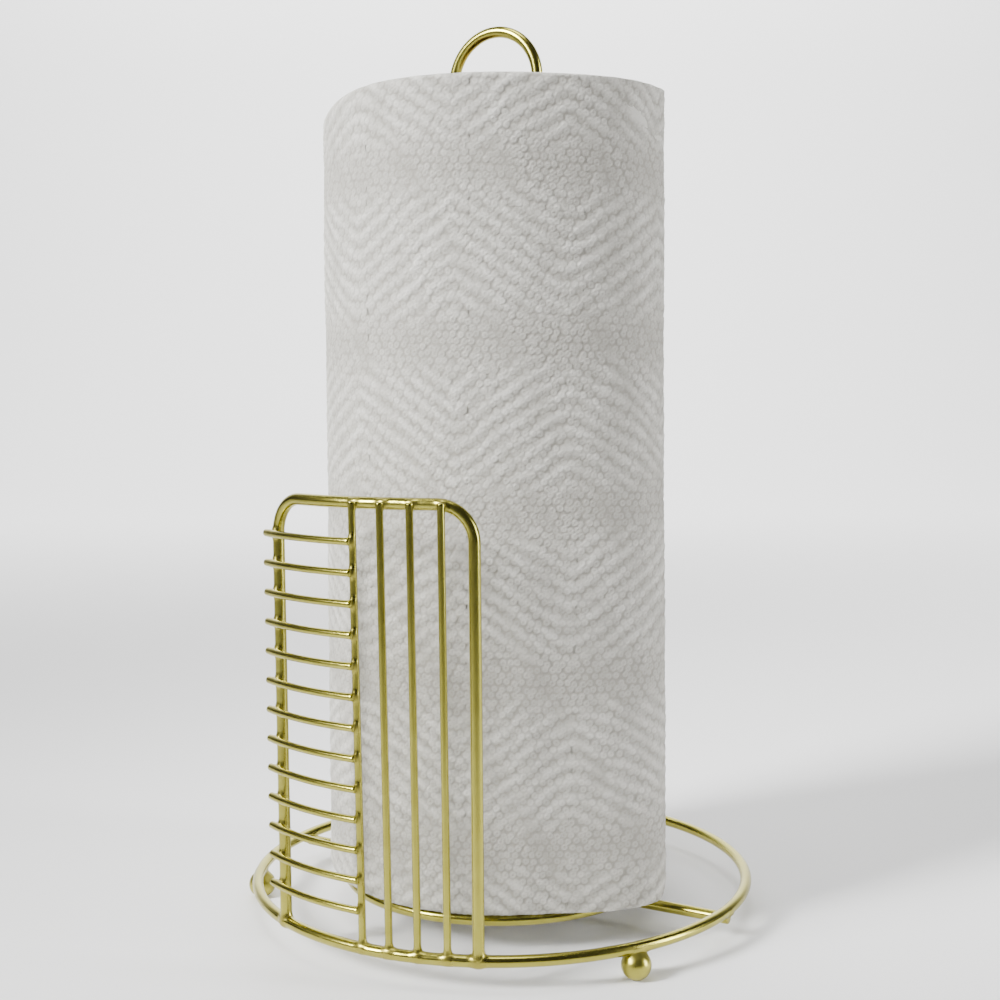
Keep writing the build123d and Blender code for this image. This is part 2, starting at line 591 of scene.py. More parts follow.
FOOT_RADIUS = rounded(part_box("ball_foot_1")[1].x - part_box("ball_foot_1")[0].x) / 2
CROSS_ENDS = (
    around(-CROSS_WIRE_REACH, CROSS_WIRE_ANGLE, CROSS_HEIGHT),
    around(CROSS_WIRE_REACH, CROSS_WIRE_ANGLE, CROSS_HEIGHT),
)
POST_FEET = [
    around(side * POST_RADIUS, CROSS_WIRE_ANGLE, CROSS_HEIGHT + HEAVY_HALF - 1.6 * MM)
    for side in (-1, 1)
]
LEFT_CORNER = corner(LEFT_LEG_ANGLE, 1)
RIGHT_CORNER = corner(RIGHT_LEG_ANGLE, -1)


def ring_mates():
    """Everything that is welded to the outer ring."""
    mates = [rod_mate(*CROSS_ENDS)]
    mates += [rod_mate(c[0], c[1]) for c in (LEFT_CORNER, RIGHT_CORNER)]
    mates += [rod_mate(*upright_ends(n), FINE_HALF) for n in range(4)]
    centres = [foot_centre(node) for node in FOOT_NODES]
    return mates + [rod_mate(c, c, FOOT_RADIUS) for c in centres]


# ---------------------------------------------------------------- paper


# The last sheet leaves the roll at the front and ends loose at the right, where it flares.
# Slices of the wound roll run from under its end round the back to where it begins.
UNDER_TAIL = math.radians(315)
TAIL_BEGIN = math.radians(225)
TAIL_LEAVES = math.radians(284)
TAIL_FLAT = math.radians(322)
SLICE_COUNT = 4
TAIL_PIECES = 3
FLARE_TOP = 3.0 * MM
FLARE_LOW = 7.3 * MM
TAIL_CORNER = 5 * MM
SHEET_LENGTH = 140 * MM
ZIGZAG_WIDTH = math.radians(72)
ZIGZAG_CENTRE = math.radians(293)
ZIGZAG_RISE = 12.5 * MM
BAND_CENTRE = 236 * MM
BAND_PERIOD = 114 * MM
SHELL = 12 * MM
WOUND_RADIUS = ROLL_RADIUS - 1.7 * MM
DOT_SHIFT = 0.34
DOT_DIP = 1.0
DOT_CREST = 0.27
DOT_FOOT = 0.54


def smooth_step(low, high, value):
    """0 below low, 1 above high, and a smooth S between."""
    share = np.clip((value - low) / (high - low), 0, 1)
    return share * share * (3 - 2 * share)


def waves(position, seeds):
    """Slow wandering between -1 and 1: a mean of sines with unrelated lengths."""
    total = sum(np.sin(position * rate + shift) for rate, shift in seeds)
    return total / len(seeds)


def scatter(row, column, seed):
    """A number from 0 to 1 for each place of the lattice: the fraction of a large sine."""
    return np.mod(np.sin(row * 12.9898 + column * 78.233 + seed) * 43758.5453, 1)


def dots(arc, height, pitch):
    """Height of the nearest dot, 0 to 1.

    Dots stand on a lattice of equal triangles, each a little off its place and with its own
    height. Each is a low dome whose middle is pressed in, so that it reads as a small ring.
    """
    row_pitch = pitch * math.sqrt(3) / 2
    row = np.round(height / row_pitch)
    relief = np.zeros(arc.shape)
    for step in (-1, 0, 1):
        line = row + step
        offset = 0.5 * pitch * np.mod(line, 2)
        middle = np.round((arc - offset) / pitch)
        for side in (-1, 0, 1):
            column = middle + side
            shift_x = DOT_SHIFT * pitch * (scatter(line, column, 1.0) - 0.5)
            shift_y = DOT_SHIFT * pitch * (scatter(line, column, 2.0) - 0.5)
            own = 0.62 + 0.38 * scatter(line, column, 3.0)
            dip = DOT_DIP * (0.55 + 0.45 * scatter(line, column, 4.0))
            away_x = arc - offset - column * pitch - shift_x
            away_y = height - line * row_pitch - shift_y
            share = np.hypot(away_x, away_y) / pitch
            dome = 1 - smooth_step(DOT_CREST, DOT_FOOT, share)
            hollow = dip * np.exp(-((share / 0.185) ** 2))
            relief = np.maximum(relief, own * (dome - hollow))
    return relief


def ridges(angle, height, pitch):
    """Zigzag ridges in bands: upright and upturned chevrons by turns, faded out between."""
    share = np.mod((angle - ZIGZAG_CENTRE) / ZIGZAG_WIDTH + 0.5, 1) - 0.5
    corner_soft = np.sqrt(share**2 + 0.03**2)
    rise = ZIGZAG_RISE * (4 * corner_soft - 1)
    wander = waves(angle * 9 + height * 60, ((1.0, 0.4), (1.7, 2.9), (2.6, 5.1)))
    height = height + 0.9 * MM * wander
    band = np.cos(TAU * (height - BAND_CENTRE) / BAND_PERIOD)
    patch = waves(angle * 14 - height * 120, ((1.0, 1.1), (1.6, 0.2), (2.3, 3.3)))
    total = 0
    for sign in (1, -1):
        strength = smooth_step(0.0, 0.8, sign * band) * (0.72 + 0.28 * patch)
        wave = 0.5 + 0.5 * np.cos(TAU * (height - sign * rise) / pitch)
        total = total + strength * wave
    return total


def emboss(angle, height, towel):
    """Embossed height of the towel, as shares for dots and for ridges."""
    arc = (angle - TAIL_BEGIN) * WOUND_RADIUS
    drift = 0.35 * MM * waves(height, ((71, 0.3), (163, 1.9), (39, 4.0)))
    lift = 0.35 * MM * waves(arc, ((83, 2.2), (47, 0.4), (151, 3.1)))
    dot = dots(arc + drift, height + lift + 0.05 * arc, towel.dot_pitch)
    ridge = ridges(angle, height + 2 * lift, towel.ridge_pitch)
    soft = 0.74 + 0.26 * waves(arc * 1.7 + height, ((210, 0.1), (330, 1.2), (127, 5.0)))
    return dot * soft, ridge


def bulge(angle, centre, width):
    """1 in one direction about the post, falling off as a bell over a width, in degrees."""
    away = np.mod(np.degrees(angle) - centre + 180, 360) - 180
    return np.exp(-((away / width) ** 2))


def up_share(height):
    """0 at the roll's lower end and 1 at its upper end."""
    return np.clip((height - ROLL_BASE) / (ROLL_TOP - ROLL_BASE), 0, 1)


def wound_radius(angle, height):
    """Radius of the wound roll before embossing: a little out of round, fuller low down on
    the left, slacker on the right, with slow waves."""
    low = 1 - up_share(height)
    swell = (0.5 + 1.9 * low) * MM * bulge(angle, 190, 34)
    slack = 0.6 * MM * bulge(angle, 350, 45)
    wave = 0.22 * MM * waves(height * 30, ((1.0, 0.2), (1.7, 2.0))) * np.cos(2 * angle)
    return WOUND_RADIUS + swell - slack + wave


def tail_edge(height):
    """Direction of the last sheet's free edge: a shallow curve, with torn perforation teeth."""
    share = up_share(height)
    line = np.radians(323 + 15.5 * share - 2.3 * share**2)
    teeth = np.abs(np.sin(math.pi * height / PERFORATION_PITCH)) ** 0.5
    return line + (0.30 * MM * teeth) / WOUND_RADIUS


def tail_lift(angle, height):
    """How far the last sheet stands off the roll: an S from where it leaves, more low down,
    with a shallow crease near its upper corner."""
    flare = FLARE_TOP + FLARE_LOW * (1 - up_share(height)) ** 1.6
    lift = flare * smooth_step(TAIL_LEAVES, TAIL_FLAT, angle)
    crease_line = height - (ROLL_TOP - 13 * MM) + 0.35 * WOUND_RADIUS * (angle - TAIL_FLAT)
    crease = np.exp(-((crease_line / (2.4 * MM)) ** 2)) * bulge(angle, 324, 13)
    return lift - 0.9 * MM * crease


def relief(angle, height, towel):
    """How far the embossed face stands out of its middle, its share, and its perforations.

    Perforations are shallow grooves one sheet apart, measured from the free edge.
    """
    dot, ridge = emboss(angle, height, towel)
    arc = (tail_edge(height) - angle) * WOUND_RADIUS
    from_line = np.abs(np.mod(arc + SHEET_LENGTH / 2, SHEET_LENGTH) - SHEET_LENGTH / 2)
    line = np.exp(-((from_line / (0.45 * MM)) ** 2)) * (arc > SHEET_LENGTH / 2)
    out = towel.dot_depth * (dot - 0.7) + towel.ridge_depth * (ridge - 0.6)
    share = np.clip(0.55 * dot + 0.45 * ridge, 0, 1)
    return out - 0.18 * MM * line, share, line


def rim_rounding(angle, towel):
    """Rounding of the roll's lower and upper rims, softer where the roll was knocked."""
    low = towel.bottom_rounding * (1 + 0.5 * bulge(angle, 195, 30))
    top = towel.top_rounding + 7.5 * MM * bulge(angle, 190, 30)
    return low, top


def end_relief(radius, angle, towel):
    """How far the wound edges lie inside the roll's end.

    The winding number is the radius over the layer pitch less the turn. Its whole part
    numbers the layer, and each layer stands in by its own slow wave, with a groove between.
    """
    winding = radius / towel.layer_pitch - angle / TAU
    layer = np.floor(winding)
    across = winding - layer
    along = layer * 1.0 + angle / TAU
    own = waves(along, ((7.3, 0.5), (11.9, 2.6), (3.1, 4.4)))
    groove = np.abs(2 * across - 1) ** 3
    return 0.22 * MM + 0.16 * MM * own + 0.14 * MM * groove


def grid_normals(points):
    """Outward unit normals of a grid whose rows climb and whose columns turn about Z."""
    down = np.gradient(points, axis=0)
    turn = np.gradient(points, axis=1)
    return unit(np.cross(turn, down))


def quarter(rounding, turns, opening):
    """Inset and rise of a rim that is a quarter round, for each turn and each column.

    The inset is the rounding less its share of the cosine or sine, and the rise is the
    other. opening is True where the rim is met from the wall side.
    """
    turns = turns[:, None]
    across = 1 - np.cos(turns) if opening else 1 - np.sin(turns)
    climb = 1 - np.sin(turns) if opening else 1 - np.cos(turns)
    return rounding[None] * across, rounding[None] * climb


def strip_between(height, outer_count):
    """Triangles that fill the cut face between a profile's outer and its inner points.

    Both chains climb together: the lower of their next points makes a triangle with the
    last point of the other chain.
    """
    outer = np.arange(outer_count)
    inner = np.arange(len(height) - 1, outer_count - 1, -1)
    beside_inner = np.searchsorted(height[outer[1:]], height[inner[1:]], "right")
    beside_outer = np.searchsorted(height[inner[1:]], height[outer[1:]], "left")
    return np.vstack(
        [
            np.stack([outer[:-1], outer[1:], inner[beside_outer]], axis=1),
            np.stack([inner[1:], inner[:-1], outer[beside_inner]], axis=1),
        ]
    )


def closed_slice(name, points, angle, share, line, material, outer_count=None):
    """A mesh from a closed profile carried about the Z axis, with both cut faces closed.

    points has one row for each profile point and one column for each direction, with a
    spare column at each side that only serves the normals, so that neighbouring slices
    shade as one surface. A profile that is a thin shell says how many of its points are
    outside, and its cut faces are then strips, which follow a curved edge.
    """
    normals = grid_normals(points)[:, 1:-1]
    points, share, line = points[:, 1:-1], share[:, 1:-1], line[:, 1:-1]
    rows, columns = points.shape[:2]
    faces = grid_faces(rows, columns, 0, True, False)
    if outer_count is None:
        caps = [np.arange(rows)[None, ::-1], np.arange(rows)[None]]
    else:
        caps = [strip_between(points[:, k, 2], outer_count) for k in (0, -1)]
        caps[1] = caps[1][:, ::-1]
    caps = [caps[0] * columns, caps[1] * columns + columns - 1]
    flat = np.arange(len(faces)) >= (rows - 1) * (columns - 1)
    face_normals = normals.reshape(-1, 3)[faces]
    corners = points.reshape(-1, 3)[faces]
    own = unit(np.cross(corners[:, 2] - corners[:, 0], corners[:, 3] - corners[:, 1]))
    face_normals[flat] = own[flat][:, None]
    ends = []
    for cap, column, sense in ((caps[0], angle[1], -1), (caps[1], angle[-2], 1)):
        ends.append(np.tile(around(sense, column + math.pi / 2, 0), (cap.size, 1)))
    corner_normals = np.vstack([face_normals.reshape(-1, 3), *ends])
    flat = np.concatenate([flat, np.ones(len(caps[0]) + len(caps[1]), bool)])
    piece = new_piece(name, points, [faces, *caps], material, flat, corner_normals)
    paint(piece, "emboss", share.ravel())
    paint(piece, "perforation", line.ravel())
    return piece


def roll_slice(name, begin, finish, columns, wall_rows, end_rows, sunk, towel, material):
    """One slice of the wound roll's outside: embossed wall, rims and edges of both ends.

    Its profile runs out over the lower end, round the lower rim, up the embossed wall,
    round the upper rim, in over the upper end, and straight back down inside.
    """
    step = (finish - begin) / (columns - 1)
    angle = begin + np.arange(-1, columns + 1) * step
    low, top = rim_rounding(angle, towel)
    turns = np.linspace(0, math.pi / 2, 11)
    share = np.linspace(0, 1, end_rows)[:, None]
    wall = np.linspace(0, 1, wall_rows)[:, None]
    low_in, low_up = quarter(low, turns[:-1], False)
    top_in, top_down = quarter(top, turns[1:], True)
    none = 0 * angle[None]
    height_of_wall = ROLL_BASE + low + wall * (ROLL_TOP - top - ROLL_BASE - low)
    inset = np.vstack(
        [
            SHELL + (low - SHELL) * share[:-1],
            low_in,
            none + 0 * wall,
            top_in,
            top + (SHELL - top) * share[1:],
        ]
    )
    z = np.vstack(
        [
            none + ROLL_BASE + 0 * share[:-1],
            ROLL_BASE + low_up,
            height_of_wall,
            ROLL_TOP - top_down,
            none + ROLL_TOP + 0 * share[1:],
        ]
    )
    a = np.repeat(angle[None], len(z), axis=0)
    out, emboss_share, line = relief(a, z, towel)
    # The turn below the last one lies one sheet deeper where the roll begins.
    spiral = towel.sheet_thickness * (1 - np.clip((a - UNDER_TAIL + TAU) / (TAU * 0.75), 0, 1))
    outer = wound_radius(a, z) + (out - sunk - spiral)
    follow = 1 - np.clip(inset / SHELL, 0, 1)
    radius = (WOUND_RADIUS - inset) + (outer - WOUND_RADIUS) * follow
    at_end = smooth_step(0.0, 1.0, inset / np.where(z > 2 * ROLL_BASE, top, low))
    pull = end_relief(radius, a, towel) * at_end
    middle = (ROLL_BASE + ROLL_TOP) / 2
    z = np.where(z > middle, z - pull, z + pull)
    points = np.stack([radius * np.cos(a), radius * np.sin(a), z], axis=2)
    return closed_slice(name, points, angle, emboss_share, line, material)


def tail_slice(number, towel, material):
    """One stretch of the last sheet, as a thin closed shell that leaves the roll.

    Its profile goes round the lower rim, up the embossed face, round the upper rim and
    back down an inner face that lies one sheet deeper. Each column's direction is its share
    of the way from where the sheet begins to its free edge, and the free edge's lower
    corner is rounded.
    """
    columns, wall_rows, back_rows = 81, 570, 40
    total = TAIL_PIECES * (columns - 1)
    along = (number * (columns - 1) + np.arange(-1, columns + 1)) / total
    near = TAIL_BEGIN + along * (np.radians(330) - TAIL_BEGIN)
    low, top = rim_rounding(near, towel)
    loose = 1 - smooth_step(TAIL_LEAVES - 0.15, TAIL_FLAT - 0.2, near)
    low, top = low * loose, top * loose
    depth = 0.62 * MM
    turns = np.linspace(0, math.pi / 2, 9)
    wall = np.linspace(0, 1, wall_rows)[:, None]
    back = np.linspace(1, 0, back_rows)[:, None]
    from_edge = np.clip((1 - along) * math.radians(100) * WOUND_RADIUS / TAIL_CORNER, 0, 1)
    corner_rise = TAIL_CORNER * (1 - np.sqrt(1 - (1 - from_edge) ** 2))
    base = ROLL_BASE + corner_rise
    low_in, low_up = quarter(low, turns[:-1], False)
    top_in, top_down = quarter(top, turns[1:], True)
    low_back, top_back = np.maximum(low - depth, 0), np.maximum(top - depth, 0)
    back_top_in, back_top_down = quarter(top_back, turns[::-1], True)
    back_low_in, back_low_up = quarter(low_back, turns[::-1], False)
    none = 0 * along[None]
    span = ROLL_TOP - top - base - low
    back_span = ROLL_TOP - top_back - base - low_back - 2 * depth
    inset = np.vstack(
        [
            low_in,
            none + 0 * wall,
            top_in,
            depth + back_top_in,
            depth + none + 0 * back[1:-1],
            depth + back_low_in,
        ]
    )
    z = np.vstack(
        [
            base + low_up,
            base + low + wall * span,
            ROLL_TOP - top_down,
            ROLL_TOP - depth - back_top_down,
            base + depth + low_back + back[1:-1] * back_span,
            base + depth + back_low_up,
        ]
    )
    outer_count = len(low_in) + wall_rows + len(top_in)
    outside = np.arange(len(z)) < outer_count
    a = TAIL_BEGIN + along[None] * (tail_edge(z) - TAIL_BEGIN)
    out, share, line = relief(a, z, towel)
    out = np.where(outside[:, None], out, 0)
    radius = wound_radius(a, z) + tail_lift(a, z) + out - inset
    points = np.stack([radius * np.cos(a), radius * np.sin(a), z], axis=2)
    # The inner face takes a fixed emboss share, which sets how much painted valley shade it gets.
    share = np.where(outside[:, None], share, 0.6)
    return closed_slice(
        f"towel_tail_{number + 1}", points, a[0], share, line, material, outer_count
    )


def winding(name, upper, towel, material):
    """Half of the wound paper inside the outer turns, as a closed ring.

    Its profile runs over the wound end, down the outside, back under and up the bore, and
    is carried about the Z axis.
    """
    columns = 360
    inner, outer = CORE_RADIUS + CORE_GAP, WOUND_RADIUS - SHELL + 0.3 * MM
    middle = (ROLL_BASE + ROLL_TOP) / 2
    end = ROLL_TOP if upper else ROLL_BASE
    across = np.linspace(outer, inner, 140)
    radius = np.concatenate([across, [inner, outer]])
    height = np.concatenate([np.full(len(across), end), [middle, middle]])
    angle = np.arange(columns) * TAU / columns
    a, r = np.meshgrid(angle, radius)
    z = np.repeat(height[:, None], columns, axis=1)
    pull = end_relief(r, a, towel)
    pull[len(across) :] = 0
    z = z - pull if upper else z + pull
    points = np.stack([r * np.cos(a), r * np.sin(a), z], axis=2)
    faces = grid_faces(len(radius), columns, 0, True, True)
    if not upper:
        faces = faces[:, ::-1]
    flat = np.zeros(len(faces), bool)
    flat[-3 * columns :] = True
    piece = new_piece(name, points, [faces], material, flat)
    # The wound paper takes a fixed emboss share, which sets how much painted valley shade it gets.
    paint(piece, "emboss", np.full(points.shape[:2], 0.75).ravel())
    paint(piece, "perforation", np.zeros(points.shape[:2]).ravel())
    return piece


def core_tube(material):
    """Cardboard core: a thin tube whose two walls carry a wound strip's spiral seam.

    The profile climbs the outer wall, crosses the end, comes down the inner wall and is
    carried about the Z axis. Near the helix where the height over the lead equals the
    turn, the wall is pressed in.
    """
    columns, rows = 180, 190
    bore = CORE_RADIUS - 1.0 * MM
    edge = 0.25 * MM
    climb = np.linspace(ROLL_BASE + edge, ROLL_TOP - edge, rows)
    radius = np.concatenate(
        [
            [CORE_RADIUS - edge],
            np.full(rows, CORE_RADIUS),
            [CORE_RADIUS - edge, bore + edge],
            np.full(rows, bore),
            [bore + edge],
        ]
    )
    height = np.concatenate(
        [[ROLL_BASE], climb, [ROLL_TOP, ROLL_TOP], climb[::-1], [ROLL_BASE]]
    )
    angle = np.arange(columns) * TAU / columns
    a, r = np.meshgrid(angle, radius)
    z = np.repeat(height[:, None], columns, axis=1)
    lead = 95 * MM
    strip = np.mod(z / lead - a / TAU, 1)
    seam = np.exp(-((np.minimum(strip, 1 - strip) * lead / (1.2 * MM)) ** 2))
    outside = r > (CORE_RADIUS + bore) / 2
    # The outer wall may only go in and the inner wall only out, away from their neighbours.
    r = r - np.where(outside, 0.12, -0.22) * MM * seam
    points = np.stack([r * np.cos(a), r * np.sin(a), z], axis=2)
    faces = grid_faces(len(radius), columns, 0, True, True)
    piece = new_piece("core_tube", points, [faces], material)
    paint(piece, "seam", seam.ravel())
    return piece


# ---------------------------------------------------------------- materials


class Nodes:
    """Short hand for filling a material's node tree."""

    def __init__(self, name):
        self.material = bpy.data.materials.new(name)
        self.material.use_nodes = True
        self.tree = self.material.node_tree
        self.shader = self.tree.nodes["Principled BSDF"]

    def add(self, kind, settings=None, **inputs):
        """A node with its settings and its inputs, each a value or an output."""
        node = self.tree.nodes.new("ShaderNode" + kind)
        for key, value in (settings or {}).items():
            setattr(node, key, value)
        for key, value in inputs.items():
            self.feed(node.inputs[key.replace("_", " ")], value)
        return node

    def feed(self, socket, value):
        """Links an output to a socket, or sets the socket's value."""
        if isinstance(value, bpy.types.NodeSocket):
            self.tree.links.new(value, socket)
        else:
            socket.default_value = value

    def attribute(self, name, output="Fac"):
        """A named attribute of the mesh."""
        return self.add("Attribute", {"attribute_name": name}).outputs[output]

    def place(self):
        """Object coordinates."""
        return self.add("TexCoord").outputs["Object"]

    def scaled(self, vector, scale):
        """A vector with its three parts scaled."""
        return self.add("Mapping", Vector=vector, Scale=scale).outputs["Vector"]

    def noise(self, vector, scale, detail=4.0, rough=0.6):
        """Noise of a scale."""
        return self.add(
            "TexNoise", Vector=vector, Scale=scale, Detail=detail, Roughness=rough
        ).outputs["Fac"]

    def math(self, operation, first, second=0.0):
        """One sum of two numbers."""
        node = self.add("Math", {"operation": operation})
        self.feed(node.inputs[0], first)
        self.feed(node.inputs[1], second)
        return node.outputs[0]

    def span(self, value, low, high, to_low, to_high):
        """A value moved from one span to another."""
        node = self.add("MapRange", Value=value)
        for key, number in zip(
            ("From Min", "From Max", "To Min", "To Max"), (low, high, to_low, to_high)
        ):
            node.inputs[key].default_value = number
        return node.outputs[0]

    def mix(self, share, first, second):
        """Two colours mixed by a share."""
        node = self.add("Mix", {"data_type": "RGBA"})
        self.feed(node.inputs[0], share)
        self.feed(node.inputs[6], colour(first))
        self.feed(node.inputs[7], colour(second))
        return node.outputs[2]

    def bump(self, height, strength, distance, normal=None):
        """Bump from a height."""
        node = self.add("Bump", Height=height, Strength=strength, Distance=distance)
        if normal is not None:
            self.feed(node.inputs["Normal"], normal)
        return node.outputs["Normal"]


def colour(value):
    """A colour of three numbers with its alpha, or a link as it is."""
    return value if isinstance(value, bpy.types.NodeSocket) else (*value, 1.0)


def gold_finish(name, drawn, roughness):
    """Satin gold: drawing streaks along the wire, fine grain, and dulled, deeper welds."""
    made = bpy.data.materials.get(name)
    if made:
        return made
    colours = bpy.context.scene.holder_colours
    n = Nodes(name)
    place = n.place()
    weld = n.attribute("weld")
    grain = n.noise(place, 2600, 3, 0.55)
    cloud = n.noise(place, 95, 3, 0.5)
    if drawn:
        rolled = n.attribute("rolled_out", "Vector")
        streak = n.noise(n.scaled(rolled, (1, 1, 0.008)), 2300, 3, 0.55)
    else:
        streak = n.noise(place, 900, 4, 0.6)
    tone = n.span(n.math("ADD", cloud, n.math("MULTIPLY", streak, 0.45)), 0.45, 0.98, 0, 1)
    base = n.mix(tone, colours.gold_deep, colours.gold)
    heat = n.math("MULTIPLY", n.math("POWER", weld, 1.6), n.span(cloud, 0.3, 0.7, 0.5, 1.0))
    base = n.mix(n.math("MULTIPLY", heat, 0.65), base, colours.heat)
    n.feed(n.shader.inputs["Base Color"], base)
    n.shader.inputs["Metallic"].default_value = 1.0
    uneven = n.math("ADD", streak, n.math("MULTIPLY", grain, 0.5))
    rough = n.span(uneven, 0.4, 1.05, roughness - 0.05, roughness + 0.07)
    n.feed(n.shader.inputs["Roughness"], n.math("ADD", rough, n.math("MULTIPLY", heat, 0.12)))
    relief = n.bump(streak, 0.07, 0.00004)
    n.feed(n.shader.inputs["Normal"], n.bump(grain, 0.07, 0.00003, relief))
    return n.material


def heavy_gold():
    """Finish of the heavy wire."""
    return gold_finish("gold_heavy_satin", True, WIRE_ROUGHNESS)


def fine_gold():
    """Finish of the fine wire."""
    return gold_finish("gold_fine_satin", True, WIRE_ROUGHNESS)


def towel_finish():
    """Soft embossed tissue: painted warm shade in the embossing's valleys, fibres, mottling,
    painted shade in the perforation slits, and painted shade between the turns on the wound ends.
    """
    name = "towel_tissue"
    made = bpy.data.materials.get(name)
    if made:
        return made
    colours = bpy.context.scene.holder_colours
    n = Nodes(name)
    place = n.place()
    share = n.attribute("emboss")
    line = n.attribute("perforation")
    parts = n.add("SeparateXYZ", Vector=place)
    x, y, z = (parts.outputs[k] for k in range(3))
    fibre = n.noise(n.scaled(place, (1, 1, 0.6)), 4200, 4, 0.65)
    fluff = n.noise(place, 1300, 4, 0.6)
    cloud = n.noise(place, 130, 3, 0.5)
    # The emboss share mixes the painted valley shade into the paper colour: the lower the
    # embossing, the darker.
    base = n.mix(n.span(share, 0.05, 0.75, 0, 1), colours.painted_valley_shade, colours.paper)
    dim = n.mix(n.span(n.math("ADD", cloud, fluff), 0.7, 1.3, 0.12, 0.0), base, (0.55, 0.53, 0.49))
    # Painted shade in the perforation cuts: a dark colour along the perforation line, broken into
    # slits.
    teeth = n.math("SINE", n.math("MULTIPLY", z, TAU / PERFORATION_PITCH))
    slit = n.math("GREATER_THAN", teeth, -0.55)
    slit = n.math("MULTIPLY", slit, n.span(line, 0.6, 0.9, 0, 0.55))
    base = n.mix(slit, dim, (0.30, 0.29, 0.27))
    # Painted shade in the grooves between the single turns on the ends of the roll, which also
    # carry a bump.
    normal = n.add("NewGeometry").outputs["True Normal"]
    steep = n.math("ABSOLUTE", n.add("SeparateXYZ", Vector=normal).outputs[2])
    at_end = n.span(steep, 0.7, 0.95, 0, 1)
    radius = n.math("SQRT", n.math("ADD", n.math("MULTIPLY", x, x), n.math("MULTIPLY", y, y)))
    turn = n.math("DIVIDE", n.math("ARCTAN2", y, x), TAU)
    layer = n.math("SUBTRACT", n.math("DIVIDE", radius, 0.4 * MM), turn)
    edge = n.math("SINE", n.math("MULTIPLY", layer, TAU))
    edge = n.math("MULTIPLY", n.math("MULTIPLY", edge, at_end), n.span(fluff, 0.3, 0.7, 0.4, 1))
    # Painted shade: the grooves between the turns are darkened.
    base = n.mix(n.span(edge, -1, 0.2, 0.35, 0.0), base, (0.52, 0.50, 0.46))
    n.feed(n.shader.inputs["Base Color"], base)
    n.feed(n.shader.inputs["Roughness"], n.span(fluff, 0.3, 0.7, 0.88, 0.98))
    n.shader.inputs["Specular IOR Level"].default_value = 0.25
    n.shader.inputs["Sheen Weight"].default_value = 0.12
    n.shader.inputs["Sheen Roughness"].default_value = 0.6
    relief = n.bump(fluff, 0.8, 0.0003)
    relief = n.bump(fibre, 0.45, 0.00008, relief)
    relief = n.bump(edge, 0.5, 0.00012, relief)
    n.feed(n.shader.inputs["Normal"], relief)
    return n.material


def board_finish():
    """Grey-brown core board: fibres, flecks, and darker glue along its spiral seam."""
    name = "core_board_grey"
    made = bpy.data.materials.get(name)
    if made:
        return made
    colours = bpy.context.scene.holder_colours
    n = Nodes(name)
    place = n.place()
    seam = n.attribute("seam")
    fibre = n.noise(n.scaled(place, (1, 1, 0.35)), 1500, 5, 0.65)
    fleck = n.noise(place, 420, 2, 0.5)
    cloud = n.noise(place, 60, 3, 0.5)
    light = tuple(min(1.0, c * 1.35) for c in colours.board)
    base = n.mix(n.span(fibre, 0.3, 0.7, 0, 1), colours.board, light)
    base = n.mix(n.span(fleck, 0.66, 0.74, 0, 0.5), base, (0.18, 0.13, 0.08))
    base = n.mix(n.span(cloud, 0.3, 0.7, 0, 0.25), base, (0.36, 0.28, 0.19))
    base = n.mix(n.math("MULTIPLY", seam, 0.5), base, (0.24, 0.17, 0.10))
    n.feed(n.shader.inputs["Base Color"], base)
    n.feed(n.shader.inputs["Roughness"], n.span(fibre, 0.3, 0.7, 0.75, 0.92))
    n.feed(n.shader.inputs["Normal"], n.bump(fibre, 0.4, 0.00012))
    return n.material


def floor_finish():
    """Pale matt studio board with the faintest grain."""
    colours = bpy.context.scene.holder_colours
    n = Nodes("studio_board")
    place = n.place()
    cloud = n.noise(place, 6, 3, 0.5)
    grain = n.noise(place, 700, 3, 0.6)
    pale = tuple(colours.floor)
    dim = tuple(c * 0.985 for c in pale)
    n.feed(n.shader.inputs["Base Color"], n.mix(cloud, dim, pale))
    n.feed(n.shader.inputs["Roughness"], n.span(grain, 0.3, 0.7, 0.72, 0.82))
    n.shader.inputs["Specular IOR Level"].default_value = 0.2
    n.feed(n.shader.inputs["Normal"], n.bump(grain, 0.05, 0.00005))
    return n.material


# ---------------------------------------------------------------- operators


class TOWEL_HOLDER_OT_base_rings(Operator):
    """Make the outer ring and the ring that the roll stands on"""

    bl_idname = "towel_holder.base_rings"
    bl_label = "Base rings"

    def execute(self, context):
        finish = heavy_gold()
        outer = wire(
            "base_ring",
            level_circle(BASE_RADIUS, RING_HEIGHT, math.radians(118)),
            outward,
            HEAVY_HALF,
            ring_mates(),
            finish,
            closed=True,
        )
        place(outer, "holder", "gold_heavy_wire", "outer_ring")
        support = wire(
            "roll_rest_ring",
            level_circle(SUPPORT_RADIUS, SUPPORT_HEIGHT, math.radians(95)),
            outward,
            HEAVY_HALF,
            [rod_mate(*CROSS_ENDS)],
            finish,
            closed=True,
        )
        place(support, "holder", "gold_heavy_wire", "support_ring")
        return {"FINISHED"}


class TOWEL_HOLDER_OT_cross_wire(Operator):
    """Make the straight wire across the base"""

    bl_idname = "towel_holder.cross_wire"
    bl_label = "Cross wire"

    def execute(self, context):
        mates = [
            ring_mate(BASE_RADIUS, RING_HEIGHT),
            ring_mate(SUPPORT_RADIUS, SUPPORT_HEIGHT),
        ]
        tall = np.array([0, 0, 40 * MM])
        mates += [rod_mate(foot, foot + tall) for foot in POST_FEET]
        piece = wire(
            "base_cross_wire",
            straight(*CROSS_ENDS),
            upward,
            HEAVY_HALF,
            mates,
            heavy_gold(),
        )
        place(piece, "holder", "gold_heavy_wire", "cross_wire")
        return {"FINISHED"}


